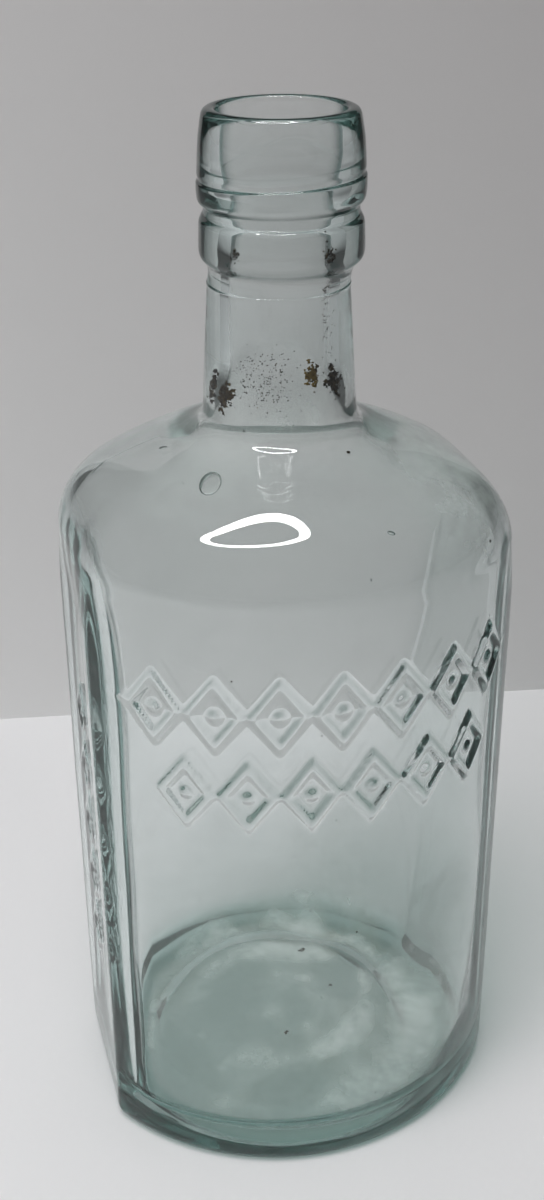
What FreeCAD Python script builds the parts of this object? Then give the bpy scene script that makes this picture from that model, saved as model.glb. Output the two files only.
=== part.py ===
import FreeCAD, Part
import math
import os

import Sketcher

# An antique glass bottle: a mould-blown body with two narrow flat sides, wide rounded front and back,
# a domed shoulder and a tapered neck, and a finish of separate glass laid round the end of the neck.
# Millimetres. +Z runs up the axis, X crosses the flat sides, and the origin is the middle of the base.

SIZES = {
    "total_height": 216.0,
    # Body in plan: the flat sides' width is measured between the corners before they are rounded.
    "body_width": 87.6,
    "body_depth": 82.2,
    "side_flat_width": 32.8,
    "corner_radius": 3.2,
    "inner_corner_radius": 15.0,
    "wall_thickness": 3.3,
    "side_wall_thickness": 5.0,
    # Base: a thick heel round a shallow push-up, which slopes up to a small flat.
    "base_thickness": 7.0,
    "heel_height": 4.0,
    "heel_inset": 2.6,
    "inner_heel_height": 4.5,
    "inner_heel_inset": 4.5,
    "push_up_radius": 29.0,
    "push_up_flat_radius": 13.0,
    "push_up_height": 4.5,
    "push_up_thickness": 5.0,
    # Shoulder: a tight round, then a flat crown that runs into the neck's flare.
    "shoulder_start": 134.0,
    "shoulder_radius": 17.0,
    "shoulder_turn": 55.5,
    "crown_radius": 69.0,
    "neck_flare_radius": 4.0,
    # Neck: tapers from the flare to the ledge that the finish stands on, then a thin tube inside the finish.
    # Its bore is straight, then widens towards the mouth as the finishing tool left it.
    "neck_base_radius": 14.8,
    "neck_top_radius": 13.3,
    "neck_seat_radius": 12.7,
    "bore_radius": 9.4,
    "bore_taper_depth": 32.0,
    "mouth_wall": 1.1,
    "mouth_chamfer": 0.6,
    # Finish: tapered lip band with a small ledge, a groove, and a rounded collar down to a narrow foot.
    "finish_height": 28.5,
    "finish_seat_gap": 0.05,
    "lip_radius": 14.55,
    "lip_chamfer": 1.2,
    "ledge_depth": 11.4,
    "ledge_radius": 15.3,
    "ledge_step": 0.25,
    "band_radius": 15.62,
    "band_undercut": 2.0,
    "band_height": 17.2,
    "groove_radius": 14.2,
    "collar_radius": 15.5,
    "collar_brow_radius": 15.1,
    "collar_brow_height": 4.6,
    "collar_undercut": 2.2,
    "foot_overhang": 0.3,
    "foot_height": 0.6,
}

# Half angle of the neck circle that each flat side runs out into.
SIDE_SPAN = 6.0
# How far the hollow runs past the mouth, so that it opens it cleanly.
MOUTH_OVERRUN = 1.0
# Steps in the heel, in the shoulder's round and in its crown, on the outside and in the hollow.
OUTSIDE_STEPS = (2, 5, 2)
HOLLOW_STEPS = (1, 2, 2)

doc = FreeCAD.newDocument("antique_bottle")
sheet = doc.addObject("Spreadsheet::Sheet", "Sizes")
for row, (alias, length) in enumerate(SIZES.items(), start=1):
    sheet.set(f"A{row}", alias)
    sheet.set(f"B{row}", str(length))
    sheet.setAlias(f"B{row}", alias)
doc.recompute()


def size(alias):
    """The number that the sheet holds under this alias."""
    return float(sheet.get(alias))


def value(expression):
    """An expression on the sheet's cells, worked out to a number."""
    return float(sheet.evalExpression(expression))


def origin_plane(body, role):
    """One of a body's own origin planes."""
    return next(feature for feature in body.Origin.OriginFeatures if feature.Role == role)


def new_sketch(body, name, role, height="0"):
    """An empty sketch on one of the body's origin planes, lifted along the plane's normal."""
    sketch = body.newObject("Sketcher::SketchObject", name)
    sketch.AttachmentSupport = [(origin_plane(body, role), "")]
    sketch.MapMode = "FlatFace"
    sketch.setExpression("AttachmentOffset.Base.z", height)
    return sketch


def bind(sketch, kind, *args):
    """Adds a dimension whose last argument is an expression, and ties it to that expression."""
    *where, expression = args
    index = sketch.addConstraint(Sketcher.Constraint(kind, *where, value(expression)))
    sketch.setExpression(f"Constraints[{index}]", expression)


def pin_point(sketch, edge, end, across, along):
    """Ties an edge's end point to the sketch's origin by two expressions."""
    for kind, axis, expression in (("DistanceX", -2, across), ("DistanceY", -1, along)):
        if expression == "0":
            sketch.addConstraint(Sketcher.Constraint("PointOnObject", edge, end, axis))
        else:
            bind(sketch, kind, -1, 1, edge, end, expression)


def flare_arc(start, end, radius):
    """The shorter arc of this radius from start to end, turning right as the neck's flare does."""
    chord = end - start
    rise = radius - math.sqrt(radius ** 2 - chord.Length ** 2 / 4)
    left = FreeCAD.Vector(-chord.y, chord.x, 0).normalize()
    return Part.Arc(start, (start + end) * 0.5 + left * rise, end)


def profile_sketch(body, name, corners):
    """A closed outline on the XZ plane. Each corner is (radius, height, arc): two expressions, and the radius
    of the flare that runs on to the next corner, or None for a straight line."""
    sketch = new_sketch(body, name, "XZ_Plane")
    points = [FreeCAD.Vector(value(across), value(along), 0) for across, along, arc in corners]
    for place, (across, along, arc) in enumerate(corners):
        start = points[place]
        end = points[(place + 1) % len(points)]
        if arc is None:
            sketch.addGeometry(Part.LineSegment(start, end))
        else:
            sketch.addGeometry(flare_arc(start, end, value(arc)))
    # A sketch keeps its arcs counter-clockwise, so a flare, which turns right, has its ends exchanged.
    first_end = [1 if arc is None else 2 for across, along, arc in corners]
    last_end = [3 - end for end in first_end]
    for place, (across, along, arc) in enumerate(corners):
        after = (place + 1) % len(corners)
        joint = Sketcher.Constraint("Coincident", place, last_end[place], after, first_end[after])
        sketch.addConstraint(joint)
        pin_point(sketch, place, first_end[place], across, along)
        if arc is not None:
            bind(sketch, "Radius", place, arc)
    return sketch


def revolve(body, name, corners):
    """Turns a closed outline round the bottle's axis."""
    feature = body.newObject("PartDesign::Revolution", name)
    feature.Profile = profile_sketch(body, f"{name}_profile", corners)
    feature.ReferenceAxis = (feature.Profile[0], ["V_Axis"])
    feature.Angle = 360
    return feature


def outline_sketch(body, name, plan, height, share, grown):
    """The body's plan at one level: its outline shrunk to a share and then grown evenly by a distance, so
    that flat sides stay flat, arcs stay tangent, and a share of nothing would leave a circle."""
    sketch = new_sketch(body, name, "XY_Plane", height)
    half_width = f"({share} * ({plan['half_width']}) + {grown})"
    front_radius = f"({share} * ({plan['front_radius']}) + {grown})"
    corner_radius = f"({share} * ({plan['corner_radius']}) + {grown})"
    set_back = f"({share} * (({plan['front_radius']}) - ({plan['half_depth']})))"
    wide, wrap, turn, back = (value(text) for text in (half_width, front_radius, corner_radius, set_back))
    # A corner's centre lies one corner radius in from the flat side and from the wide arc.
    corner_x = wide - turn
    corner_y = math.sqrt((wrap - turn) ** 2 - corner_x ** 2) - back
    lean = math.atan2(corner_y + back, corner_x)
    axis = FreeCAD.Vector(0, 0, 1)

    def arc(x, y, radius, start, end):
        circle = Part.Circle(FreeCAD.Vector(x, y, 0), axis, radius)
        return Part.ArcOfCircle(circle, start, end)

    right = Part.LineSegment(FreeCAD.Vector(wide, -corner_y, 0), FreeCAD.Vector(wide, corner_y, 0))
    left = Part.LineSegment(FreeCAD.Vector(-wide, corner_y, 0), FreeCAD.Vector(-wide, -corner_y, 0))
    edges = [
        right,
        arc(corner_x, corner_y, turn, 0, lean),
        arc(0, -back, wrap, lean, math.pi - lean),
        arc(-corner_x, corner_y, turn, math.pi - lean, math.pi),
        left,
        arc(-corner_x, -corner_y, turn, math.pi, math.pi + lean),
        arc(0, back, wrap, math.pi + lean, 2 * math.pi - lean),
        arc(corner_x, -corner_y, turn, 2 * math.pi - lean, 2 * math.pi),
    ]
    for edge in edges:
        sketch.addGeometry(edge)
    for place in range(len(edges)):
        after = (place + 1) % len(edges)
        sketch.addConstraint(Sketcher.Constraint("Tangent", place, 2, after, 1))
    for side in (0, 4):
        sketch.addConstraint(Sketcher.Constraint("Vertical", side))
    bind(sketch, "DistanceX", -1, 1, 0, 1, half_width)
    bind(sketch, "DistanceX", 4, 1, -1, 1, half_width)
    for wide_arc, direction in ((2, (2, 3, -1, 1)), (6, (-1, 1, 6, 3))):
        sketch.addConstraint(Sketcher.Constraint("PointOnObject", wide_arc, 3, -2))
        bind(sketch, "DistanceY", *direction, set_back)
        bind(sketch, "Radius", wide_arc, front_radius)
    for corner in (1, 3, 5, 7):
        bind(sketch, "Radius", corner, corner_radius)
    return sketch


def ring_sketch(body, name, height, radius, plan):
    """The neck's circle, cut where the outline's flat sides, corners and wide arcs run out into it."""
    sketch = new_sketch(body, name, "XY_Plane", str(height))
    circle = Part.Circle(FreeCAD.Vector(), FreeCAD.Vector(0, 0, 1), radius)
    side = math.radians(SIDE_SPAN)
    wide = math.acos(value(plan["half_width"]) / value(plan["front_radius"]))
    cuts = [-side, side, wide, math.pi - wide, math.pi - side, math.pi + side, math.pi + wide, -wide, -side]
    for start, end in zip(cuts, cuts[1:]):
        sketch.addGeometry(Part.ArcOfCircle(circle, start, end))
    for place in range(8):
        sketch.addConstraint(Sketcher.Constraint("Coincident", place, 2, (place + 1) % 8, 1))
    return sketch


def ruled_loft(body, name, sections):
    """A solid through level sections, with straight lines from each to the next."""
    loft = body.newObject("PartDesign::AdditiveLoft", name)
    loft.Profile = sections[0]
    loft.Sections = sections[1:]
    loft.Ruled = True


def heel_rims(body, plan, floor, height, inset, steps):
    """The plan at the levels of the heel, a quarter ellipse from the inset floor up to the full wall."""
    rims = []
    for step in range(steps + 1):
        turn = math.pi / 2 * step / steps
        level = f"{floor} + {height} * {1 - math.cos(turn)}"
        grown = f"-{inset} * {1 - math.sin(turn)}"
        rims.append(outline_sketch(body, f"{body.Name}_heel_{step}", plan, level, 1, grown))
    return rims


def shoulder_levels(mean_radius, round_radius, crown_radius, flare_radius, neck_radius, steps):
    """Points on the shoulder's profile (radius, height), from the top of the walls to the neck's flare: a
    round from the upright wall, a flatter crown tangent to it, and a flare tangent to crown and neck."""
    round_steps, crown_steps = steps
    turn = math.radians(size("shoulder_turn"))
    start = size("shoulder_start")
    round_x = mean_radius - round_radius
    crown_x = round_x + (round_radius - crown_radius) * math.cos(turn)
    crown_z = start + (round_radius - crown_radius) * math.sin(turn)
    reach = crown_radius + flare_radius
    top_turn = math.acos((neck_radius + flare_radius - crown_x) / reach)
    rounds = [turn * step / round_steps for step in range(round_steps + 1)]
    crowns = [turn + (top_turn - turn) * (step + 1) / crown_steps for step in range(crown_steps)]
    levels = [(round_x + round_radius * math.cos(a), start + round_radius * math.sin(a)) for a in rounds]
    levels += [(crown_x + crown_radius * math.cos(a), crown_z + crown_radius * math.sin(a)) for a in crowns]
    neck_height = crown_z + reach * math.sin(top_turn)
    return levels, neck_height


def blown_form(name, plan, floor, heel, wall, steps, round_flare, neck_radius, neck_corners):
    """A bottle-shaped solid: a heel (height, inset) on the floor, upright walls, a lofted shoulder and a
    revolved neck with a round or a plain sloping flare at its foot. The wall is how far the form lies
    within the outside, so that the hollow's shoulder follows the outside's."""
    body = doc.addObject("PartDesign::Body", name)
    heel_height, heel_inset = heel
    heel_steps, *shoulder_steps = steps
    rims = heel_rims(body, plan, floor, heel_height, heel_inset, heel_steps)
    ruled_loft(body, f"{name}_heel", rims)
    walls = body.newObject("PartDesign::Pad", f"{name}_walls")
    walls.Profile = rims[-1]
    walls.setExpression("Length", f"Sizes.shoulder_start - ({floor} + {heel_height})")

    mean_radius = (value(plan["half_width"]) + value(plan["half_depth"])) / 2
    flare_radius = size("neck_flare_radius") + wall
    levels, neck_height = shoulder_levels(
        mean_radius, size("shoulder_radius") - wall, size("crown_radius") - wall, flare_radius,
        value(neck_radius), shoulder_steps,
    )
    ring_radius, ring_height = levels[-1]
    sections = []
    for place, (radius, height) in enumerate(levels[:-1]):
        share = (radius - ring_radius) / (mean_radius - ring_radius)
        grown = (1 - share) * ring_radius
        sections.append(outline_sketch(body, f"{name}_shoulder_{place}", plan, str(height), share, grown))
    sections.append(ring_sketch(body, f"{name}_neck_ring", ring_height, ring_radius, plan))
    ruled_loft(body, f"{name}_shoulder", sections)

    flare = [
        ("0", str(ring_height), None),
        (str(ring_radius), str(ring_height), str(flare_radius) if round_flare else None),
        (neck_radius, str(neck_height), None),
    ]
    revolve(body, f"{name}_neck", flare + neck_corners)
    doc.recompute()
    return body


def cut(name, base, tool):
    """One solid less another."""
    result = doc.addObject("Part::Cut", name)
    result.Base = base
    result.Tool = tool
    return result


def push_up(name, lift):
    """The push-up's shape, at a height: it is cut out of the base, and the floor inside follows it."""
    cone = doc.addObject("Part::Cone", name)
    cone.setExpression("Radius1", "Sizes.push_up_radius")
    cone.setExpression("Radius2", "Sizes.push_up_flat_radius")
    cone.setExpression("Height", "Sizes.push_up_height")
    cone.setExpression("Placement.Base.z", lift)
    return cone


# Outside and hollow of the blown body, both from the same plan
SET_IN = "(Sizes.body_depth - Sizes.side_flat_width) / 2"
FRONT_RADIUS = f"((Sizes.body_width / 2)^2 + ({SET_IN})^2) / (2 * {SET_IN})"
outside_plan = {
    "half_width": "Sizes.body_width / 2",
    "half_depth": "Sizes.body_depth / 2",
    "front_radius": FRONT_RADIUS,
    "corner_radius": "Sizes.corner_radius",
}
hollow_plan = {
    "half_width": "Sizes.body_width / 2 - Sizes.side_wall_thickness",
    "half_depth": "Sizes.body_depth / 2 - Sizes.wall_thickness",
    "front_radius": f"{FRONT_RADIUS} - Sizes.wall_thickness",
    "corner_radius": "Sizes.inner_corner_radius",
}
FINISH_FOOT = "Sizes.total_height - Sizes.finish_height"
outside = blown_form(
    "outside", outside_plan, "0", ("Sizes.heel_height", "Sizes.heel_inset"), 0, OUTSIDE_STEPS, True,
    "Sizes.neck_base_radius",
    [
        ("Sizes.neck_top_radius", FINISH_FOOT, None),
        ("Sizes.neck_seat_radius", FINISH_FOOT, None),
        ("Sizes.neck_seat_radius", "Sizes.total_height", None),
        ("0", "Sizes.total_height", None),
    ],
)
PAST_MOUTH = f"Sizes.total_height + {MOUTH_OVERRUN}"
MOUTH_RADIUS = "(Sizes.neck_seat_radius - Sizes.mouth_wall)"
hollow = blown_form(
    "hollow", hollow_plan, "Sizes.base_thickness", ("Sizes.inner_heel_height", "Sizes.inner_heel_inset"),
    size("wall_thickness"), HOLLOW_STEPS, False, "Sizes.bore_radius",
    [
        ("Sizes.bore_radius", "Sizes.total_height - Sizes.bore_taper_depth", None),
        (MOUTH_RADIUS, "Sizes.total_height - Sizes.mouth_chamfer", None),
        (f"{MOUTH_RADIUS} + Sizes.mouth_chamfer", "Sizes.total_height", None),
        (f"{MOUTH_RADIUS} + Sizes.mouth_chamfer", PAST_MOUTH, None),
        ("0", PAST_MOUTH, None),
    ],
)

# Blown body: the outside less the push-up, less the hollow with its hump
blank = cut("blank", outside, push_up("push_up", "0"))
humped_hollow = cut("humped_hollow", hollow, push_up("hump", "Sizes.push_up_thickness"))
bottle_body = cut("blown_body", blank, humped_hollow)
bottle_body.Label = "bottle_body"

# Finish: stands on the neck's ledge, round the thin tube of the neck's end
applied_finish = doc.addObject("PartDesign::Body", "finish")
applied_finish.Label = "applied_finish"
SEAT = "Sizes.neck_seat_radius + Sizes.finish_seat_gap"
LEDGE = "Sizes.total_height - Sizes.ledge_depth"
GROOVE = "Sizes.total_height - Sizes.band_height"
FOOT = f"{FINISH_FOOT} + Sizes.foot_height"
FOOT_RADIUS = "Sizes.neck_top_radius + Sizes.foot_overhang"
COLLAR = f"{FOOT} + Sizes.collar_undercut"
revolve(
    applied_finish,
    "finish_ring",
    [
        (SEAT, FINISH_FOOT, None),
        (FOOT_RADIUS, FINISH_FOOT, None),
        (FOOT_RADIUS, FOOT, None),
        ("Sizes.collar_radius", COLLAR, None),
        ("Sizes.collar_brow_radius", f"{COLLAR} + Sizes.collar_brow_height", None),
        ("Sizes.groove_radius", GROOVE, None),
        ("Sizes.band_radius", f"{GROOVE} + Sizes.band_undercut", None),
        ("Sizes.ledge_radius + Sizes.ledge_step", LEDGE, None),
        ("Sizes.ledge_radius", f"{LEDGE} + Sizes.ledge_step", None),
        ("Sizes.lip_radius", "Sizes.total_height - Sizes.lip_chamfer", None),
        ("Sizes.lip_radius - Sizes.lip_chamfer", "Sizes.total_height", None),
        (SEAT, "Sizes.total_height", None),
    ],
)
doc.recompute()

# Every object has to be sound before anything is written
pieces = [bottle_body, applied_finish]
for thing in doc.Objects:
    if "Invalid" in thing.State or "Error" in thing.State:
        raise RuntimeError(f"{thing.Name} failed: {thing.State}")
for piece in pieces:
    shape = piece.Shape
    if shape.isNull() or not shape.isValid() or len(shape.Solids) != 1:
        raise RuntimeError(f"{piece.Label} is not one sound solid")

os.makedirs("parts", exist_ok=True)
for piece in pieces:
    piece.Shape.exportStep(os.path.join("parts", f"{piece.Label}.step"))
    print(f"{piece.Label}: {piece.Shape.Volume / 1000:.1f} cubic centimetres of glass")
held = hollow.Shape.Volume / 1000
print(f"hollow up to the mouth: about {held:.0f} ml")
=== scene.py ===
import math

import bpy
import numpy as np
from mathutils import Matrix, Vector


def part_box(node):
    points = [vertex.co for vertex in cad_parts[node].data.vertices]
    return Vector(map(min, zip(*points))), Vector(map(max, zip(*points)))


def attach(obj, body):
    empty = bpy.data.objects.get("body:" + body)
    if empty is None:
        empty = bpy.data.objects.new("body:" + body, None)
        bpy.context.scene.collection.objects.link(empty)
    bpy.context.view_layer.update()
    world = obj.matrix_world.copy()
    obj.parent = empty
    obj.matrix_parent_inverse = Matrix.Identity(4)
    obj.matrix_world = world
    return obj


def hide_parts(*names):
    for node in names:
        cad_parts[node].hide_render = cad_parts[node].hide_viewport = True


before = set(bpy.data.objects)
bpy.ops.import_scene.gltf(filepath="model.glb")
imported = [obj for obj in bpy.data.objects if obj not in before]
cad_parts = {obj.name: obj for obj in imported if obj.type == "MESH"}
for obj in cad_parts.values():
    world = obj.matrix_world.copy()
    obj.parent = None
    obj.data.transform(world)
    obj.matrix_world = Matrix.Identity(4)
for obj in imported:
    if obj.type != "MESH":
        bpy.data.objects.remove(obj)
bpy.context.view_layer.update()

# Blown glass
# The bottle itself: a body blown into a two-piece mould, and a finish of a second gather laid round the end
# of the neck and tooled. The two are fused, with no surface between them, so one skin stands for both: it
# runs up the outside, over the lip, and down the inside to the floor.
MM = 0.001
body_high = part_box("bottle_body")[1]
finish_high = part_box("applied_finish")[1]
LIP = finish_high.z
HALF_WIDTH = body_high.x
HALF_DEPTH = body_high.y
SIDE_FLAT = 32.8 * MM
CORNER = 3.2 * MM
INNER_CORNER = 14.0 * MM
SHOULDER_CORNER = 22.0 * MM
WALL = 3.3 * MM
SIDE_WALL = 5.0 * MM
FACE_RISE = HALF_DEPTH - SIDE_FLAT / 2
FACE_RADIUS = (HALF_WIDTH ** 2 + FACE_RISE ** 2) / (2 * FACE_RISE)
FACE_SET_BACK = FACE_RADIUS - HALF_DEPTH
COLUMNS = 264
FINE_TURNS = 40001
FRONT_CLOSER = 3.4
FRONT_HALF_TURN = 57
PANEL_CLOSER = 2.0
PANEL_HALF_TURN = 9
CORNER_CLOSER = 7.0
CORNER_HALF_TURN = 1.6


def plan_radius(angle, side_inset, face_inset, corner):
    """The plan's radius at each angle about the axis. On a flat side it is the half width over the cosine,
    on a wide face the distance to an arc whose centre is set back beyond the axis, and between them the
    distance to a corner arc that touches both. The insets move side and face inwards."""
    across = np.abs(np.cos(angle))
    along = np.abs(np.sin(angle))
    half_width = HALF_WIDTH - side_inset
    wrap = FACE_RADIUS - face_inset
    corner_x = half_width - corner
    corner_y = np.sqrt((wrap - corner) ** 2 - corner_x ** 2) - FACE_SET_BACK
    lean = np.arctan2(corner_y + FACE_SET_BACK, corner_x)
    flat_end = np.arctan2(corner_y, half_width)
    face_start = np.arctan2(wrap * np.sin(lean) - FACE_SET_BACK, wrap * np.cos(lean))
    flat = half_width / np.maximum(across, np.cos(face_start))
    face = np.sqrt(wrap ** 2 - (FACE_SET_BACK * across) ** 2) - FACE_SET_BACK * along
    reach = np.maximum(corner ** 2 - (across * corner_y - along * corner_x) ** 2, 0)
    turned = across * corner_x + along * corner_y + np.sqrt(reach)
    side = np.arctan2(along, across)
    return np.where(side < flat_end, flat, np.where(side > face_start, face, turned))


def column_angles(count):
    """Angles about the axis, from the left side round, packed where the surface needs them: a density of
    1, raised over the front's relief, over the left panel's relief and round the four corners, is summed,
    and the angles are where the sum passes equal steps."""
    fine = np.linspace(-math.pi, math.pi, FINE_TURNS)
    degrees = np.degrees(fine)
    corner = math.degrees(math.atan2(SIDE_FLAT / 2, HALF_WIDTH))
    density = np.ones_like(fine)
    density += FRONT_CLOSER * (np.abs(degrees + 90) < FRONT_HALF_TURN)
    density += PANEL_CLOSER * (np.abs(np.abs(degrees) - 180) < PANEL_HALF_TURN)
    for turn in (corner, -corner, 180 - corner, corner - 180):
        density += CORNER_CLOSER * np.exp(-((degrees - turn) / CORNER_HALF_TURN) ** 2)
    total = np.cumsum(density)
    return np.interp(np.arange(count) / count * total[-1], total, fine)


def rows(share, radius, height):
    """Rows of the skin, each with its share of the plan, its plain radius and its height."""
    return np.stack(np.broadcast_arrays(share, radius, height), axis=-1).reshape(-1, 3)


def softened(corners, steps, between):
    """A profile through corners (radius, height, softness): straight runs, and at each corner a quadratic
    curve that leaves the runs the softness away from the corner. The first and last are plain ends."""
    points = np.array([corner[:2] for corner in corners]) * MM
    part = np.linspace(0, 1, steps + 1)[:, None]
    pieces = [points[:1]]
    for before, (radius, height, softness), after in zip(points, corners[1:-1], points[2:]):
        here = np.array((radius, height)) * MM
        start = here + (before - here) / np.linalg.norm(before - here) * softness * MM
        end = here + (after - here) / np.linalg.norm(after - here) * softness * MM
        run = np.linspace(pieces[-1][-1], start, between + 2)[1:-1]
        pieces += [run, (1 - part) ** 2 * start + 2 * part * (1 - part) * here + part ** 2 * end]
    pieces += [np.linspace(pieces[-1][-1], points[-1], between + 2)[1:]]
    return np.concatenate(pieces)


SHOULDER_START = 134.0 * MM
SHOULDER_ROUND = 17.0 * MM
SHOULDER_TURN = math.radians(55.5)
CROWN = 69.0 * MM
FLARE = 5.5 * MM
FLARE_GAIN = 4.8


def shoulder_rows(inset, neck_radius, round_steps, crown_steps, flare_steps):
    """The shoulder's rows upwards from the wall: a round, a flatter crown tangent to it and a flare tangent
    to the crown and to the neck, wider where the inset is larger. Between wall and flare, the plan's share
    falls with the profile's radius."""
    mean = (HALF_WIDTH + HALF_DEPTH) / 2 - inset
    rounding = SHOULDER_ROUND - inset
    crown = CROWN - inset
    flare = FLARE + FLARE_GAIN * inset
    round_x = mean - rounding
    crown_x = round_x + (rounding - crown) * math.cos(SHOULDER_TURN)
    crown_z = SHOULDER_START + (rounding - crown) * math.sin(SHOULDER_TURN)
    top_turn = math.acos((neck_radius + flare - crown_x) / (crown + flare))
    turns = np.linspace(0, SHOULDER_TURN, round_steps + 1)
    crowns = np.linspace(SHOULDER_TURN, top_turn, crown_steps + 1)[1:]
    flares = np.linspace(top_turn, 0, flare_steps + 1)[1:]
    radius = np.concatenate((round_x + rounding * np.cos(turns), crown_x + crown * np.cos(crowns)))
    height = np.concatenate((SHOULDER_START + rounding * np.sin(turns), crown_z + crown * np.sin(crowns)))
    ring = radius[-1]
    share = (radius - ring) / (mean - ring)
    flare_x = neck_radius + flare
    flare_z = crown_z + (crown + flare) * math.sin(top_turn)
    neck_foot = rows(0, flare_x - flare * np.cos(flares), flare_z - flare * np.sin(flares))
    return np.concatenate((rows(share, (1 - share) * ring, height), neck_foot))


# Base: a shallow domed push-up within a flat ring, and a heel that is a quarter ellipse.
PUSH_UP = 31.5 * MM
PUSH_UP_HEIGHT = 4.5 * MM
PUSH_UP_POWER = 7
HEEL = 4.0 * MM
HEEL_INSET = 2.6 * MM


def push_up(radius):
    """The push-up's height at a radius: a shallow dome with a crease at its rim, which falls with a high
    power of the radius."""
    return PUSH_UP_HEIGHT * (1 - np.clip(radius / PUSH_UP, 0, 1) ** PUSH_UP_POWER)


base_radius = np.linspace(0, PUSH_UP, 15)[1:]
ring_part = np.linspace(0, 1, 6)[1:-1]
heel_turn = np.linspace(0, math.pi / 2, 8)
base_rows = np.concatenate((
    rows(0, base_radius, push_up(base_radius)),
    rows(ring_part, (1 - ring_part) * PUSH_UP - ring_part * HEEL_INSET, 0),
    rows(1, HEEL_INSET * (np.sin(heel_turn) - 1), HEEL * (1 - np.cos(heel_turn))),
))

# Walls: close rows only where relief stands on them.
PANEL_RELIEF = (33.0 * MM, 87.0 * MM)
FACE_RELIEF = (87.0 * MM, 123.5 * MM)
wall_heights = np.concatenate((
    np.linspace(HEEL, PANEL_RELIEF[0], 9)[1:-1],
    np.linspace(*PANEL_RELIEF, 44)[:-1],
    np.linspace(*FACE_RELIEF, 74)[:-1],
    np.linspace(FACE_RELIEF[1], SHOULDER_START, 6)[:-1],
))
wall_rows = rows(1, 0, wall_heights)

# Neck and finish: a fine ring left by the tool, collar, groove, band with a small ledge and tapered lip,
# then a mouth that narrows to the bore. The tooled edges are crisp on the near side, softer on the far side.
NECK_FOOT = 14.8 * MM
BORE = 9.4 * MM
MOUTH_FLOOR = 205.0 * MM
THROAT = 197.5 * MM
outer_shoulder = shoulder_rows(0, NECK_FOOT, 12, 10, 8)
inner_shoulder = shoulder_rows(WALL, BORE, 10, 10, 12)


def neck_rows(worn):
    """The rows from the neck's foot over the lip and down to the shoulder inside, through corners of
    radius, height and softness in millimetres. Wear from 0 to 1 eases the ring, the collar's foot and
    brow, the groove and the ledge."""
    profile = softened([
        (NECK_FOOT / MM, outer_shoulder[-1, 2] / MM, 0),
        (13.42 + 0.15 * worn, 184.2 - 0.2 * worn, 0.3),
        (13.58, 184.7, 0.2),
        (13.34 + 0.15 * worn, 184.92 + 0.1 * worn, 0.12),
        (13.3 + 0.25 * worn, 186.9 - 0.8 * worn, 0.6 + 0.1 * worn),
        (13.75 + 0.55 * worn, 188.2, 0.35 + 1.05 * worn),
        (15.5 - 0.12 * worn, 189.9 + 2.3 * worn, 1.1 + 0.7 * worn),
        (15.25, 196.7 - 0.6 * worn, 0.7 + 0.4 * worn),
        (14.3 + 0.3 * worn, 197.3 + 0.8 * worn, 0.35 + 0.35 * worn),
        (14.2 + 0.4 * worn, 198.9 + 0.4 * worn, 0.4 + 0.05 * worn),
        (15.45, 200.0 + 0.8 * worn, 0.7 - 0.1 * worn),
        (15.62 - 0.06 * worn, 202.0 + 0.4 * worn, 0.9 - 0.2 * worn),
        (15.58 - 0.08 * worn, 203.9 - 0.1 * worn, 0.28 - 0.02 * worn),
        (15.1 + 0.2 * worn, 204.15 + 0.25 * worn, 0.22 + 0.08 * worn),
        (15.4, 205.2, 0.35),
        (15.05, 211.0, 1.5),
        (14.2, LIP / MM, 1.3),
        (11.7, LIP / MM, 0.9),
        (11.3, MOUTH_FLOOR / MM, 3.4),
        (BORE / MM, THROAT / MM, 4.0),
        (BORE / MM, inner_shoulder[-1, 2] / MM, 0),
    ], steps=4, between=1)
    return rows(0, profile[1:, 0], profile[1:, 1])


# Hollow: the wall again, a rounded inner heel and the floor over the push-up.
INNER_HEEL = 5.0 * MM
FLOOR = 7.0 * MM
FLOOR_LIFT = 5.0 * MM
FLOOR_FLAT = 30.0 * MM
floor_radius = np.linspace(FLOOR_FLAT, 0, 18)[:-1]
inner_turn = np.linspace(math.pi / 2, 0, 7)
floor_part = np.linspace(1, 0, 4)[1:-1]


def floor_height(radius):
    """The floor inside: level near the wall, and lifted over the push-up where the glass follows it."""
    return np.maximum(FLOOR, push_up(radius) + FLOOR_LIFT * (radius < PUSH_UP))


hollow_rows = np.concatenate((
    inner_shoulder[-2::-1],
    rows(1, 0, np.linspace(SHOULDER_START, FLOOR + INNER_HEEL, 16)[1:-1]),
    rows(1, INNER_HEEL * (np.sin(inner_turn) - 1), FLOOR + INNER_HEEL * (1 - np.cos(inner_turn))),
    rows(floor_part, (1 - floor_part) * FLOOR_FLAT - floor_part * INNER_HEEL, FLOOR),
    rows(0, floor_radius, floor_height(floor_radius)),
))
near_rows, far_rows = (
    np.concatenate((base_rows, wall_rows, outer_shoulder, neck_rows(worn), hollow_rows)) for worn in (0, 1)
)
outer_count = len(near_rows) - len(hollow_rows)


def smooth(value, start, end):
    """0 before the start, 1 after the end, and a smooth cubic between."""
    part = np.clip((value - start) / (end - start), 0, 1)
    return part * part * (3 - 2 * part)


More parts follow.
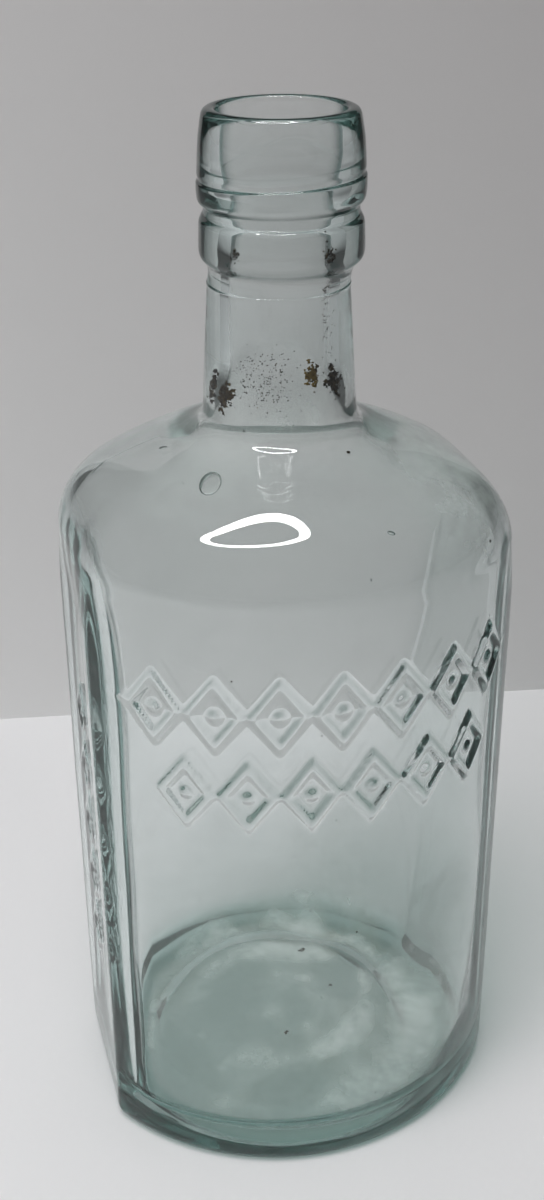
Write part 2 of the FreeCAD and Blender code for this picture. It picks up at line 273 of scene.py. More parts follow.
NEAR_SIDE = math.radians(-106.0)
WEAR_SPAN = (-0.3, 0.4)
SOFT_CORNER_SPAN = (SHOULDER_START - 14 * MM, SHOULDER_START + 6 * MM)
angle = column_angles(COLUMNS)
far = smooth(-np.cos(angle - NEAR_SIDE), *WEAR_SPAN)
share = near_rows[:, :1]
plain = near_rows[:, 1:2] + far * (far_rows - near_rows)[:, 1:2]
height = near_rows[:, 2:] + far * (far_rows - near_rows)[:, 2:]
inside = (np.arange(len(near_rows)) >= outer_count)[:, None]
outer_plan = plan_radius(angle, 0, 0, CORNER)
inner_plan = plan_radius(angle, SIDE_WALL, WALL, INNER_CORNER)
soft_plan = plan_radius(angle, WALL * inside, WALL * inside, SHOULDER_CORNER)
sharp_plan = np.where(inside, inner_plan, outer_plan)
fade = smooth(height, *SOFT_CORNER_SPAN)
radius = share * (sharp_plan + fade * (soft_plan - sharp_plan)) + plain

# Relief: lozenges with a bead in each, in two rows on the front and one column on the left panel.
RELIEF = 0.7 * MM
STROKE_EDGE = (0.38 * MM, 1.425 * MM)
BEAD_EDGE = (0.455 * MM, 1.755 * MM)
FRONT_PITCH = 12.2 * MM
FRONT_LOZENGE = (4.9 * MM, 6.6 * MM)
UPPER_ROW = 114.3 * MM
LOWER_ROW = 96.6 * MM
PANEL_PITCH = 14.0 * MM
PANEL_LOZENGE = (5.6 * MM, 4.4 * MM)
PANEL_MIDDLE = 70.0 * MM
PANEL_SHARE = 0.7


def lozenges(along, across, count, pitch, half_length, half_height):
    """Height from 0 to 1 of a row of open lozenges with beads: along is folded into cells of one pitch,
    half a pitch over where the count is even, the lozenge is the line where the two coordinates' shares
    add up to 1, and the bead is a disc in its middle."""
    shift = (count + 1) % 2 / 2
    cell = along - pitch * np.round(along / pitch - shift) - pitch * shift
    slant = math.hypot(1 / half_length, 1 / half_height)
    line = np.abs(np.abs(cell) / half_length + np.abs(across) / half_height - 1) / slant
    bead = np.hypot(cell, across)
    raised = 1 - smooth(line, *STROKE_EDGE)
    dotted = 1 - smooth(bead, *BEAD_EDGE)
    return np.maximum(raised, dotted) * (np.abs(along) < count * pitch / 2)


wall_x = outer_plan * np.cos(angle)
wall_y = outer_plan * np.sin(angle)
on_front = np.arctan2(wall_x, FACE_SET_BACK - wall_y) * FACE_RADIUS
is_front = wall_y < -SIDE_FLAT / 2 - CORNER
is_left = (wall_x < 0) & (np.abs(wall_y) < SIDE_FLAT / 2 - CORNER)
on_wall = (share == 1) & ~inside
front_relief = np.maximum(
    lozenges(on_front, height - UPPER_ROW, 7, FRONT_PITCH, *FRONT_LOZENGE),
    lozenges(on_front, height - LOWER_ROW, 6, FRONT_PITCH, *FRONT_LOZENGE),
)
panel_relief = PANEL_SHARE * lozenges(height - PANEL_MIDDLE, wall_y, 5, PANEL_PITCH, *PANEL_LOZENGE)
relief = np.where(is_front, front_relief, np.where(is_left, panel_relief, 0)) * on_wall

# The panels sink a little as the glass cools, by as much as the relief stands out of them.
SINK_REACH = 22 * MM
SINK_FOOT = (10 * MM, 30 * MM)
SINK_HEAD = (122 * MM, 133 * MM)
face_sink = np.cos(np.clip(on_front / SINK_REACH, -1, 1) * math.pi / 2) ** 2 * is_front
panel_sink = np.cos(np.clip(wall_y / (SIDE_FLAT / 2 - CORNER), -1, 1) * math.pi / 2) * is_left
low_end = smooth(height, *SINK_FOOT)
high_end = 1 - smooth(height, *SINK_HEAD)
sink = np.maximum(face_sink, panel_sink) * low_end * high_end * on_wall
radius = radius + RELIEF * (relief - sink)


def ripple(angle, height):
    """Slow waves from the mould and the blowing, from -1 to 1: a few sines round the bottle and up it."""
    waves = (
        (2, 23, 0.4),
        (3, -41, 2.1),
        (5, 57, 4.0),
        (7, -88, 1.3),
        (4, 139, 5.2),
    )
    return sum(np.sin(turns * angle + rise * height + phase) for turns, rise, phase in waves) / len(waves)


OUTER_RIPPLE = 0.10 * MM
INNER_RIPPLE = 0.35 * MM
FLOOR_RIPPLE = 0.22 * MM
FLOOR_BAND = 5 * MM
INNER_STRETCH = 0.9
INNER_RISE = 50 * MM
inner_wave = INNER_RIPPLE * ripple(angle, height / INNER_STRETCH + INNER_RISE) * share
outer_wave = OUTER_RIPPLE * (ripple(angle, height) - 1) * on_wall
radius = radius + np.where(inside, inner_wave, outer_wave)


def floor_ripple(radius, angle):
    """Waves left in the floor by the blowing, as a height: three sines, each along its own heading."""
    waves = ((210, -0.6), (290, 0.9), (380, 2.3))
    return FLOOR_RIPPLE * sum(np.sin(wave * radius * np.cos(angle - turn) + turn) for wave, turn in waves)


def floor_surface(radius, angle):
    """The rippled floor's height."""
    return floor_height(radius) + floor_ripple(radius, angle)


on_floor = inside * (height < FLOOR + FLOOR_BAND) * (1 - share)
height = height + on_floor * floor_ripple(radius, angle)

# Crookedness: the shoulder droops to one side, and the finish stands a little off the neck's axis.
DROOP = 0.021
LEAN_HEADING = math.radians(-15.55)
FINISH_SHIFT = 0.6 * MM
FINISH_TILT = 0.04
DROOP_START = (112 * MM, 142 * MM)
DROOP_END = (150 * MM, 164 * MM)
NECK_SHIFT_START = (150 * MM, 163 * MM)
FINISH_SHIFT_START = (184 * MM, 189.5 * MM)
TILT_START = (197 * MM, 204 * MM)
TILT_END = (208 * MM, 214 * MM)


def settled(radius, angle, height):
    """Points of the crooked bottle from radius, angle and height: heights fall towards one side on the
    shoulder and rise on the finish's ledge. The neck is shifted away from that side, and the finish back
    over the axis."""
    toward = np.cos(angle - LEAN_HEADING) * radius
    droop = smooth(height, *DROOP_START) * (1 - smooth(height, *DROOP_END))
    shift = FINISH_SHIFT * (smooth(height, *FINISH_SHIFT_START) - smooth(height, *NECK_SHIFT_START))
    tilt = smooth(height, *TILT_START) * (1 - smooth(height, *TILT_END))
    x = radius * np.cos(angle) + shift * math.cos(LEAN_HEADING)
    y = radius * np.sin(angle) + shift * math.sin(LEAN_HEADING)
    z = height - DROOP * droop * toward + FINISH_TILT * tilt * toward
    return np.stack(np.broadcast_arrays(x, y, z), axis=-1)


skin = settled(radius, angle, height)


def ring_faces(row_count, column_count):
    """Quads of a closed tube of rows, with a triangle fan to a pole at each end. The poles come last."""
    first = np.arange(row_count - 1)[:, None] * column_count
    place = np.arange(column_count)
    after = (place + 1) % column_count
    corners = (first + place, first + after, first + column_count + after, first + column_count + place)
    quads = np.stack(corners, axis=-1).reshape(-1, 4)
    pole = row_count * column_count
    last = pole - column_count
    bottom = np.stack((np.full(column_count, pole), after, place), axis=-1)
    top = np.stack((np.full(column_count, pole + 1), last + place, last + after), axis=-1)
    return quads, np.concatenate((bottom, top))


def make_piece(name, points, face_groups, material):
    """A smooth mesh object at the origin, with one material, from groups of quads or triangles."""
    faces = [face for group in face_groups for face in group.tolist()]
    mesh = bpy.data.meshes.new(name)
    mesh.from_pydata(points.reshape(-1, 3), [], faces)
    mesh.polygons.foreach_set("use_smooth", np.ones(len(faces), bool))
    mesh.materials.append(material)
    mesh.update()
    piece = bpy.data.objects.new(name, mesh)
    bpy.context.scene.collection.objects.link(piece)
    return piece


class Shade:
    """A node tree's socket. Sums on it add Math nodes, and node() adds any other kind."""

    def __init__(self, tree, socket=None):
        self.tree = tree
        self.socket = socket

    def node(self, kind, settings=None, inputs=None, output=0):
        """Adds a node: settings first, then values or links for its sockets. Ramp stops are pairs of a
        place and a colour."""
        made = self.tree.nodes.new(kind)
        settings = dict(settings or {})
        for stop, (place, colour) in enumerate(settings.pop("stops", ())):
            ramp = made.color_ramp.elements
            element = ramp[stop] if stop < len(ramp) else ramp.new(place)
            element.position = place
            element.color = colour
        for name, setting in settings.items():
            setattr(made, name, setting)
        for name, feed in (inputs or {}).items():
            if isinstance(feed, Shade):
                self.tree.links.new(feed.socket, made.inputs[name])
            else:
                made.inputs[name].default_value = feed
        return Shade(self.tree, made.outputs[output] if made.outputs else None)

    def maths(self, operation, first, second):
        """A Math node on two values or links."""
        return self.node("ShaderNodeMath", {"operation": operation}, {0: first, 1: second})

    def __add__(self, other):
        return self.maths("ADD", self, other)

    def __sub__(self, other):
        return self.maths("SUBTRACT", self, other)

    def __mul__(self, other):
        return self.maths("MULTIPLY", self, other)

    def __rsub__(self, other):
        return self.maths("SUBTRACT", other, self)

    def ramp(self, start, end):
        """0 before the start, 1 after the end, and a smooth step between."""
        return self.node("ShaderNodeMapRange", {"interpolation_type": "SMOOTHSTEP"}, {
            "Value": self, "From Min": start, "From Max": end, "To Min": 0.0, "To Max": 1.0,
        })

    __radd__ = __add__
    __rmul__ = __mul__


def new_material(name):
    """A material with an empty tree, as a Shade to build on."""
    material = bpy.data.materials.new(name)
    material.use_nodes = True
    material.node_tree.nodes.clear()
    return material, Shade(material.node_tree)


# Old bottle glass, pale aqua from iron in the sand. Inside there is a dull film in patches, thickest round
# the foot of the neck, on one side of the shoulder and low in the body, and in swirls on the floor.
GLASS_IOR = 1.51
GLASS_TINT = (0.04, 0.34, 0.30, 1)
GLASS_DENSITY = 25.0
HEEL_TINT = (0.70, 1.0, 0.96, 1)
# Painted shade for the finish's outlines.
EDGE_PAINTED_SHADE = (0.035, 0.095, 0.086, 1)
FILM = (0.88, 0.89, 0.88, 1)
FLOOR_STAIN = (0.36, 0.38, 0.32, 1)
FILM_ALL_OVER = 0.03
FILM_STRENGTH = 0.16
BODY_FILM = 0.35
NECK_FOOT_FILM = 2.0
SHOULDER_SIDE_FILM = 3.0
SHOULDER_TOP_FILM = 0.7
LOW_BODY_FILM = 0.9
FLOOR_FILM = 0.8
SWIRL_FILM = 2.8
SWIRL_PALER = 0.16
FLOOR_PALER = 0.04
FILM_ROUGHNESS = 0.05
glass, tree = new_material("aqua_glass")
spot = tree.node("ShaderNodeTexCoord", output=3)
inner = tree.node("ShaderNodeAttribute", {"attribute_name": "inner"}, output=2)
cloud = tree.node("ShaderNodeTexNoise", inputs={
    "Vector": spot, "Scale": 38.0, "Detail": 8.0, "Roughness": 0.62,
})
blotch = cloud.ramp(0.40, 0.68)
across = tree.node("ShaderNodeSeparateXYZ", inputs={0: spot}, output=0)
up = tree.node("ShaderNodeSeparateXYZ", inputs={0: spot}, output=2)
neck_foot = up.ramp(154 * MM, 163 * MM) - up.ramp(168 * MM, 178 * MM)
shoulder_height = up.ramp(128 * MM, 140 * MM) - up.ramp(148 * MM, 156 * MM)
shoulder_side = across.ramp(12 * MM, 36 * MM) * shoulder_height
low_body = (1 - up.ramp(20 * MM, 85 * MM)) * across.ramp(-30 * MM, 30 * MM)
shoulder_top = up.ramp(142 * MM, 152 * MM) - up.ramp(156 * MM, 162 * MM)
floor_bed = 1 - up.ramp(10 * MM, 16 * MM)
swirl = tree.node("ShaderNodeTexWave", {"wave_type": "RINGS", "rings_direction": "Z"}, {
    "Vector": spot, "Scale": 24.0, "Distortion": 3.2, "Detail": 2.0, "Detail Scale": 1.2,
}, output=1)
patches = BODY_FILM + NECK_FOOT_FILM * neck_foot + LOW_BODY_FILM * low_body
patches = patches + SHOULDER_SIDE_FILM * shoulder_side + SHOULDER_TOP_FILM * shoulder_top
patches = patches + floor_bed * (FLOOR_FILM + SWIRL_FILM * swirl)
dulled = inner * (FILM_STRENGTH * blotch * patches + FILM_ALL_OVER)

# The thick glass of the heel is a deeper green. The finish carries painted shade: its outer face is darkened
# to a deep green towards its outlines, where it is seen edge on.
flat_spot = tree.node("ShaderNodeVectorMath", {"operation": "MULTIPLY"}, {0: spot, 1: (1, 1, 0)})
out = tree.node("ShaderNodeVectorMath", {"operation": "LENGTH"}, {0: flat_spot}, output=1)
heel = out.ramp(34 * MM, 38 * MM) * (1 - up.ramp(3 * MM, 14 * MM))
edge = tree.node("ShaderNodeLayerWeight", inputs={"Blend": 0.5}, output=1)
on_finish = up.ramp(187.5 * MM, 189.5 * MM)
# Painted shade: the finish darkens towards its outlines where it is seen edge on.
painted_edge_shade = edge.ramp(0.36, 0.72) * on_finish * (1 - inner)
low_rim = heel * (1 - inner)
thickness_tint_and_edge_shade = tree.node("ShaderNodeMix", {"data_type": "RGBA"}, {
    0: low_rim, 6: (1, 1, 1, 1), 7: HEEL_TINT,
}, output=2)
thickness_tint_and_edge_shade = tree.node("ShaderNodeMix", {"data_type": "RGBA"}, {
    0: painted_edge_shade, 6: thickness_tint_and_edge_shade, 7: EDGE_PAINTED_SHADE,
}, output=2)
body = tree.node("ShaderNodeBsdfPrincipled", inputs={
    "Base Color": thickness_tint_and_edge_shade,
    "Roughness": FILM_ROUGHNESS * blotch * inner,
    "IOR": GLASS_IOR,
    "Transmission Weight": 1.0,
})
mottle = tree.node("ShaderNodeTexNoise", inputs={"Vector": spot, "Scale": 85.0, "Detail": 5.0})
stained = tree.node("ShaderNodeValToRGB", {"stops": ((0.40, FLOOR_STAIN), (0.62, FILM))}, {
    "Fac": mottle + FLOOR_PALER + SWIRL_PALER * (swirl - 0.5) + 1 - floor_bed,
})
film = tree.node("ShaderNodeBsdfPrincipled", inputs={"Base Color": stained, "Roughness": 0.7})
filmed = tree.node("ShaderNodeMixShader", inputs={0: dulled, 1: body, 2: film})

# Light that falls on the table passes straight through, and loses most in the thick heel.
THIN_SHADE = (0.80, 0.84, 0.825, 1)
THICK_SHADE = (0.50, 0.58, 0.56, 1)
shadow_ray = tree.node("ShaderNodeLightPath", output=1)
thin_shade = tree.node("ShaderNodeBsdfTransparent", inputs={"Color": THIN_SHADE})
thick_shade = tree.node("ShaderNodeBsdfTransparent", inputs={"Color": THICK_SHADE})
shade = tree.node("ShaderNodeMixShader", inputs={0: heel, 1: thin_shade, 2: thick_shade})
surface = tree.node("ShaderNodeMixShader", inputs={0: shadow_ray, 1: filmed, 2: shade})
tint = tree.node("ShaderNodeVolumeAbsorption", inputs={"Color": GLASS_TINT, "Density": GLASS_DENSITY})
tree.node("ShaderNodeOutputMaterial", inputs={"Surface": surface, "Volume": tint})

poles = np.array(((0, 0, PUSH_UP_HEIGHT), (0, 0, floor_surface(0, 0))))
skin_points = np.concatenate((skin.reshape(-1, 3), poles))
bottle = make_piece("blown_bottle", skin_points, ring_faces(len(near_rows), COLUMNS), glass)
inner_points = np.append(np.repeat(inside[:, 0], COLUMNS), (False, True))
inner_mark = bottle.data.attributes.new("inner", "FLOAT", "POINT")
inner_mark.data.foreach_set("value", inner_points.astype(float))
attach(bottle, "root")
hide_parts("bottle_body", "applied_finish")

# Blisters
# Bubbles of air that were caught in the gather and drawn out with it, and a few seeds. They lie inside the
# wall and flat along it, so that only their rims show.
BLISTERS = (
    # turn in degrees, height, half width, half length, half depth, lean in degrees
    (-137.3, 154.0, 2.1, 3.0, 0.32, -20),
    (-179.0, 154.7, 0.50, 1.00, 0.25, 50),
    (-71.8, 146.6, 0.40, 0.80, 0.30, -60),
    (169.0, 148.5, 0.28, 1.70, 0.25, -35),
)
SEEDS = 28
BUBBLE_COLUMNS = 14
BUBBLE_ROWS = 7
wall_skin = skin[len(base_rows):len(base_rows) + len(wall_rows) + len(outer_shoulder)]
seed_dice = np.random.default_rng(5)


def unit(way):
    """Directions of length 1."""
    return way / np.linalg.norm(way, axis=-1, keepdims=True)


def lenses_in_wall(turn, level, half_width, half_length, half_depth, lean):
    """Flattened balls in the middle of the wall. Each sits under the skin's point nearest to its turn and
    height, with its depth along the skin's normal and its length leaning from the upright."""
    turned = np.arctan2(wall_skin[..., 1], wall_skin[..., 0])
    apart = np.angle(np.exp(1j * (turned - np.radians(turn)[:, None, None])))
    miss = np.hypot(apart * HALF_WIDTH, wall_skin[..., 2] - level[:, None, None] * MM)
    row, column = np.unravel_index(miss.reshape(len(turn), -1).argmin(axis=1), turned.shape)
    row = np.clip(row, 1, len(wall_skin) - 2)
    along = unit(wall_skin[row + 1, column] - wall_skin[row - 1, column])
    out = unit(np.cross(wall_skin[row, (column + 1) % COLUMNS] - wall_skin[row, column - 1], along))
    across = np.cross(along, out)
    sway = np.radians(lean)[:, None]
    longways = np.cos(sway) * along + np.sin(sway) * across
    sideways = np.cos(sway) * across - np.sin(sway) * along
    lift = (np.arange(BUBBLE_ROWS) + 0.5) / BUBBLE_ROWS * math.pi - math.pi / 2
    around = np.arange(BUBBLE_COLUMNS) * 2 * math.pi / BUBBLE_COLUMNS
    ball = np.stack(np.broadcast_arrays(
        np.cos(lift)[:, None] * np.cos(around),
        np.cos(lift)[:, None] * np.sin(around),
        np.sin(lift)[:, None],
    ), axis=-1).reshape(-1, 3)
    ball = np.concatenate((ball, ((0, 0, -1), (0, 0, 1))))
    halves = np.stack((half_width, half_length, half_depth), axis=-1)[:, :, None] * MM
    ways = np.stack((sideways, longways, out), axis=1) * halves
    return (wall_skin[row, column] - out * WALL / 2)[:, None] + ball @ ways


def copies(face_groups, count, points):
    """The same faces for each of several like pieces in one mesh."""
    first = np.arange(count)[:, None, None] * points
    return [(group + first).reshape(-1, group.shape[1]) for group in face_groups]


seeds = np.stack((
    seed_dice.uniform(-180, 180, SEEDS),
    seed_dice.uniform(14, 150, SEEDS),
    seed_dice.uniform(0.10, 0.20, SEEDS),
    seed_dice.uniform(0.14, 0.40, SEEDS),
    seed_dice.uniform(0.10, 0.20, SEEDS),
    seed_dice.uniform(-25, 25, SEEDS),
), axis=-1)
bubble_points = lenses_in_wall(*np.concatenate((BLISTERS, seeds)).T)
bubble_faces = ring_faces(BUBBLE_ROWS, BUBBLE_COLUMNS)
air, tree = new_material("air_in_glass")
spot = tree.node("ShaderNodeTexCoord", output=3)
mist = tree.node("ShaderNodeTexNoise", inputs={"Vector": spot, "Scale": 900.0, "Detail": 3.0})
inside_out = tree.node("ShaderNodeBsdfPrincipled", inputs={
    "Base Color": (1, 1, 1, 1),
    "Roughness": 0.04 * mist,
    "IOR": 1 / GLASS_IOR,
    "Transmission Weight": 1.0,
})
tree.node("ShaderNodeOutputMaterial", inputs={"Surface": inside_out})
blisters = make_piece("blisters", bubble_points, copies(bubble_faces, *bubble_points.shape[:2]), air)
blisters.visible_shadow = False
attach(blisters, "root")

# Stones
# Dark grains of the furnace's clay that never melted. They came with the gather and are held in the middle
# of the wall, where they show as small specks.
STONES = (
    # turn in degrees, height, half width, half length, half depth, lean in degrees
    (-62.5, 156.3, 0.42, 0.36, 0.30, 0),
    (-38.1, 138.4, 0.30, 0.28, 0.25, 0),
    (-119.0, 121.5, 0.18, 0.20, 0.16, 0),
    (-160.0, 128.0, 0.20, 0.16, 0.16, 0),
    (-84.0, 61.0, 0.20, 0.22, 0.18, 0),
)
stone_points = lenses_in_wall(*np.array(STONES).T)
grain, tree = new_material("furnace_clay")
spot = tree.node("ShaderNodeTexCoord", output=3)
grit = tree.node("ShaderNodeTexNoise", inputs={"Vector": spot, "Scale": 3000.0, "Detail": 4.0})
colour = tree.node("ShaderNodeValToRGB", {"stops": (
    (0.3, (0.010, 0.008, 0.007, 1)), (0.8, (0.06, 0.045, 0.03, 1)),
)}, {"Fac": grit})
surface = tree.node("ShaderNodeBsdfPrincipled", inputs={"Base Color": colour, "Roughness": 0.8})
tree.node("ShaderNodeOutputMaterial", inputs={"Surface": surface})
stones = make_piece("stones", stone_points, copies(bubble_faces, *stone_points.shape[:2]), grain)
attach(stones, "root")

# Residue
# Dried dregs that stick to the inside of the neck: brown-black and rust-coloured flakes, thickest round the
# foot of the bore. They dried on the glass, so each is half sunk in its surface, with no gap.
DREGS = (
    # turn from the near side in degrees, height, spreads of both, number, flake size, share of rust
    (-78.0, 165.2, 3.5, 1.3, 80, 0.40, 0.15),
    (-56.0, 164.6, 4.2, 1.0, 120, 0.40, 0.20),
    (34.0, 169.2, 3.4, 1.0, 90, 0.38, 0.75),
    (60.0, 167.4, 4.4, 1.4, 120, 0.38, 0.25),
    (-14.0, 168.6, 15.0, 3.0, 260, 0.11, 0.25),
    (53.0, 178.0, 5.0, 5.0, 60, 0.10, 0.30),
    (-60.0, 190.2, 2.6, 0.7, 26, 0.24, 0.20),
    (-47.0, 191.4, 2.0, 0.6, 24, 0.24, 0.20),
    (50.0, 191.6, 3.0, 0.8, 40, 0.24, 0.25),
    (50.0, 185.6, 2.4, 1.2, 26, 0.14, 0.25),
)
FLOOR_DREGS = np.array(((7.1, 17.7), (8.0, 18.1), (11.1, 3.1), (-4.3, -8.7))) * MM
FLOOR_FLAKE = 0.55 * MM
FLAKE_COLUMNS = 9
FLAKE_ROWS = 3
FLAKE_DEPTH = 0.08 * MM
FLAKE_SIZES = (0.35, 1.25)
FLAKE_RAGGED = 0.28
RUST_SPREAD = 0.15
FLOOR_RUST = 0.3
flare_rows = inner_shoulder[inner_shoulder[:, 0] == 0]
bore_heights = flare_rows[:, 2]
bore_radii = flare_rows[:, 1]
dice = np.random.default_rng(11)
turn, level, turn_spread, level_spread, number, flake_size, rust = np.array(DREGS).T
number = number.astype(int)
count = number.sum()
flake_turn = np.repeat(turn, number) + np.repeat(turn_spread, number) * dice.normal(size=count)
flake_turn = NEAR_SIDE + np.radians(flake_turn)
flake_level = (np.repeat(level, number) + np.repeat(level_spread, number) * dice.normal(size=count)) * MM
flake_reach = np.repeat(flake_size, number) * dice.uniform(*FLAKE_SIZES, count) * MM
flake_rust = np.repeat(rust, number) + RUST_SPREAD * dice.normal(size=count)

# Each flake is a flat lens with a ragged rim, laid on the bore.
rim_turn = np.arange(FLAKE_COLUMNS) * 2 * math.pi / FLAKE_COLUMNS
lift = (np.arange(FLAKE_ROWS) + 0.5) / FLAKE_ROWS * math.pi - math.pi / 2
rim = 1 + sum(
    FLAKE_RAGGED * np.sin(waves * rim_turn + dice.uniform(0, 2 * math.pi, (count, 1)))
    for waves in (2, 3, 5)
)
lens_out = np.cos(lift)[:, None] * rim[:, None, :] * flake_reach[:, None, None]
lens_turn = flake_turn[:, None, None] + lens_out * np.cos(rim_turn) / BORE
lens_level = flake_level[:, None, None] + lens_out * np.sin(rim_turn)
lens_deep = np.broadcast_to(FLAKE_DEPTH * np.sin(lift)[:, None], lens_out.shape)


def add_poles(grid, low, high):
    """A piece's rows of points as one list each, with its two poles last."""
    ends = np.stack(np.broadcast_arrays(low, high), axis=-1)
    return np.concatenate((grid.reshape(len(grid), -1), np.broadcast_to(ends, (len(grid), 2))), axis=1)


lens_turn = add_poles(lens_turn, flake_turn, flake_turn)
lens_level = add_poles(lens_level, flake_level, flake_level)
lens_deep = add_poles(lens_deep, -FLAKE_DEPTH, FLAKE_DEPTH)
lens_radius = np.interp(lens_level, bore_heights, bore_radii) + lens_deep

crust, tree = new_material("dried_residue")
rusty = tree.node("ShaderNodeAttribute", {"attribute_name": "rust"}, output=2)
spot = tree.node("ShaderNodeTexCoord", output=3)
grit = tree.node("ShaderNodeTexNoise", inputs={"Vector": spot, "Scale": 2600.0, "Detail": 4.0})
colour = tree.node("ShaderNodeValToRGB", {"stops": (
    (0.15, (0.012, 0.009, 0.007, 1)), (0.55, (0.055, 0.036, 0.018, 1)), (0.95, (0.20, 0.125, 0.035, 1)),
)}, {"Fac": rusty + 0.6 * grit - 0.2})
surface = tree.node("ShaderNodeBsdfPrincipled", inputs={
    "Base Color": colour, "Roughness": 0.75 + 0.2 * grit,
})
tree.node("ShaderNodeOutputMaterial", inputs={"Surface": surface})
bore_points = settled(lens_radius, lens_turn, lens_level)

# A few flakes fell to the floor and dried there.
fallen = len(FLOOR_DREGS)
fallen_out = add_poles(FLOOR_FLAKE * np.cos(lift)[:, None] * rim[:fallen, None, :], 0, 0)
fallen_turn = np.append(np.tile(rim_turn, FLAKE_ROWS), (0, 0))
fallen_x = FLOOR_DREGS[:, :1] + fallen_out * np.cos(fallen_turn)
fallen_y = FLOOR_DREGS[:, 1:] + fallen_out * np.sin(fallen_turn)
fallen_lift = np.append(np.repeat(np.sin(lift), FLAKE_COLUMNS), (-1, 1)) * FLAKE_DEPTH
fallen_z = floor_surface(np.hypot(fallen_x, fallen_y), np.arctan2(fallen_y, fallen_x)) + fallen_lift
flake_points = np.concatenate((bore_points, np.stack((fallen_x, fallen_y, fallen_z), axis=-1)))
flake_rust = np.append(flake_rust, np.full(fallen, FLOOR_RUST))
flake_faces = copies(ring_faces(FLAKE_ROWS, FLAKE_COLUMNS), *flake_points.shape[:2])
residue = make_piece("residue", flake_points, flake_faces, crust)
shares = residue.data.attributes.new("rust", "FLOAT", "POINT")
shares.data.foreach_set("value", np.repeat(flake_rust, flake_points.shape[1]))
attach(residue, "root")

# Table and wall
# A plain white table top, and a grey backdrop card that stands close behind the bottle and is a little
# wider than the picture. The card's grey carries painted light and shade: lighter low down and to the left,
# darker higher up and to the right. The card has only a front, so that it hides nothing from behind.
TABLE_WHITE = (0.78, 0.78, 0.79, 1)
TABLE_DROP = 0.1 * MM
TABLE_REACH = 6.0
# Painted light and shade on the card: lighter low and to the left, darker high and to the right.
WALL_PAINTED_LIGHT = (0.74, 0.74, 0.74, 1)
WALL_PAINTED_SHADE = (0.45, 0.44, 0.44, 1)
WALL_SHADE_SLOPE = (0.45, 0, 1.15)
WALL_LEFT = (-75.0 * MM, 166.8 * MM)
WALL_RIGHT = (152.0 * MM, 125.0 * MM)
WALL_TOP = 270.0 * MM


def make_sheet(name, corners, material):
    """A flat stage sheet from four corners."""
    sheet = make_piece(name, np.array(corners), [np.array([(0, 1, 2, 3)])], material)
    return sheet


table_top, tree = new_material("white_table")
surface = tree.node("ShaderNodeBsdfPrincipled", inputs={"Base Color": TABLE_WHITE, "Roughness": 0.6})
tree.node("ShaderNodeOutputMaterial", inputs={"Surface": surface})
make_sheet("table", [
    (-TABLE_REACH, -TABLE_REACH, -TABLE_DROP),
    (TABLE_REACH, -TABLE_REACH, -TABLE_DROP),
    (TABLE_REACH, TABLE_REACH, -TABLE_DROP),
    (-TABLE_REACH, TABLE_REACH, -TABLE_DROP),
], table_top)

wall_with_painted_light, tree = new_material("grey_wall")
back_face = tree.node("ShaderNodeNewGeometry", output=6)
spot = tree.node("ShaderNodeTexCoord", output=3)
# Painted light and shade: the card is lighter low down and to the left, darker higher up and to the right.
slope = tree.node("ShaderNodeVectorMath", {"operation": "DOT_PRODUCT"}, {0: spot, 1: WALL_SHADE_SLOPE}, output=1)
shade_rise = tree.node("ShaderNodeMapRange", inputs={
    "Value": slope, "From Min": -0.05, "From Max": 0.30, "To Min": 0.0, "To Max": 1.0,
})
painted_light_and_shade = tree.node("ShaderNodeValToRGB", {"stops": ((0, WALL_PAINTED_LIGHT), (1, WALL_PAINTED_SHADE))}, {"Fac": shade_rise})
front = tree.node("ShaderNodeBsdfPrincipled", inputs={"Base Color": painted_light_and_shade, "Roughness": 0.8})
clear = tree.node("ShaderNodeBsdfTransparent")
one_sided = tree.node("ShaderNodeMixShader", inputs={0: back_face, 1: front, 2: clear})
tree.node("ShaderNodeOutputMaterial", inputs={"Surface": one_sided})
make_sheet("wall", [
    (*WALL_LEFT, -TABLE_DROP),
    (*WALL_RIGHT, -TABLE_DROP),
    (*WALL_RIGHT, WALL_TOP),
    (*WALL_LEFT, WALL_TOP),
], wall_with_painted_light)

# Lamps
# A soft lamp above in front on the left, a broad one high over the table and a weak one far on the left.
# An oval ring lamp overhead only shows in reflections. The room is dark grey, which draws the glass's edges.
RING_PLACE = (-0.105, -0.13, 0.85)
RING_WIDTH = 0.022
RING_REACH = np.array((0.21, 0.135))
RING_STEPS = 96
RING_GLOW = 30.0
ROOM_GREY = (0.06, 0.06, 0.06, 1)


def aim(thing, place, target):
    """Puts a lamp at a place and turns it to a target."""
    thing.location = place
    heading = thing.location - type(thing.location)(target)
    thing.rotation_euler = heading.to_track_quat("Z", "Y").to_euler()


def soft_lamp(name, place, target, size, power):
    """A round area lamp that lights the scene and doesn't show in reflections."""
    lamp = bpy.data.lights.new(name, "AREA")
    lamp.shape = "DISK"
    lamp.size = size
    lamp.energy = power
    lamp_object = bpy.data.objects.new(name, lamp)
    bpy.context.scene.collection.objects.link(lamp_object)
    aim(lamp_object, place, target)
    lamp_object.visible_glossy = False
    lamp_object.visible_transmission = False


soft_lamp("ceiling_lamp", (-0.18, -0.22, 0.82), (-0.03, -0.02, 0.02), 0.42, 3.85)
soft_lamp("room_lamp", (0, 0, 2.2), (0, 0, 0), 2.4, 10.0)
soft_lamp("left_lamp", (-0.62, -0.30, 0.55), (0, 0, 0.08), 0.45, 2.2)

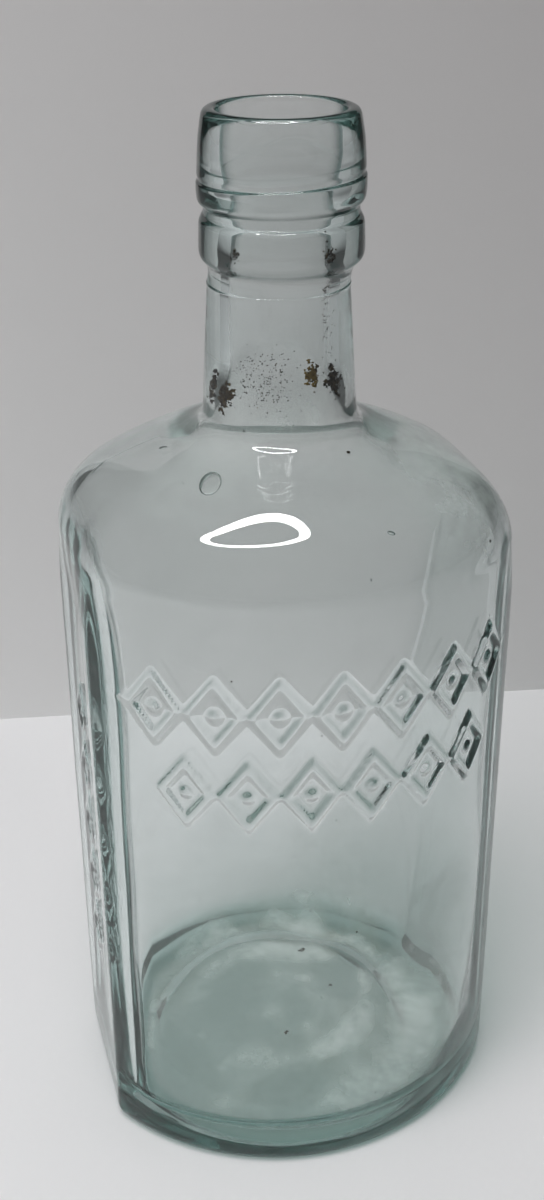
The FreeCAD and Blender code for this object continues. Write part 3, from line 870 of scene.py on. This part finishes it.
tube, tree = new_material("ring_tube")
glow = tree.node("ShaderNodeEmission", inputs={"Strength": RING_GLOW})
tree.node("ShaderNodeOutputMaterial", inputs={"Surface": glow})
around = np.linspace(0, 2 * math.pi, RING_STEPS, endpoint=False)
ring_reach = RING_REACH + np.array((-RING_WIDTH, RING_WIDTH))[:, None]
ring_points = np.stack(np.broadcast_arrays(
    RING_PLACE[0] + ring_reach[:, :1] * np.cos(around),
    RING_PLACE[1] + ring_reach[:, 1:] * np.sin(around),
    RING_PLACE[2],
), axis=-1)
place = np.arange(RING_STEPS)
after = (place + 1) % RING_STEPS
ring_quads = np.stack((place, after, RING_STEPS + after, RING_STEPS + place), axis=-1)
tube.cycles.emission_sampling = "NONE"
ring_lamp = make_piece("ring_lamp", ring_points, [ring_quads], tube)
ring_lamp.visible_camera = False
ring_lamp.visible_diffuse = False
ring_lamp.visible_transmission = False
ring_lamp.visible_shadow = False

world = bpy.data.worlds.new("room")
world.use_nodes = True
world.node_tree.nodes["Background"].inputs["Color"].default_value = ROOM_GREY
bpy.context.scene.world = world

# Camera
# Stands where the photograph was taken from, close by and above, looking down on the shoulder. Its place,
# turns and lens are those that fit the bottle's outlines.
CAMERA_PLACE = (-76.68 * MM, -266.9 * MM, 262.33 * MM)
CAMERA_HEADING = math.radians(15.55)
CAMERA_DIP = math.radians(27.55)
CAMERA_ROLL = math.radians(-0.47)
camera = bpy.data.cameras.new("camera")
camera.lens = 45.41
camera.sensor_width = 36.0
camera.clip_start = 0.01
camera_object = bpy.data.objects.new("camera", camera)
heading = Matrix.Rotation(-CAMERA_HEADING, 4, "Z")
dip = Matrix.Rotation(math.pi / 2 - CAMERA_DIP, 4, "X")
roll = Matrix.Rotation(CAMERA_ROLL, 4, "Z")
camera_object.matrix_world = Matrix.Translation(CAMERA_PLACE) @ heading @ dip @ roll
bpy.context.scene.collection.objects.link(camera_object)
bpy.context.scene.camera = camera_object
bpy.context.scene.view_settings.view_transform = "Standard"

# Light is piped a long way inside thick glass, so its paths may turn many times.
bpy.context.scene.cycles.max_bounces = 32
bpy.context.scene.cycles.glossy_bounces = 24
bpy.context.scene.cycles.transmission_bounces = 32
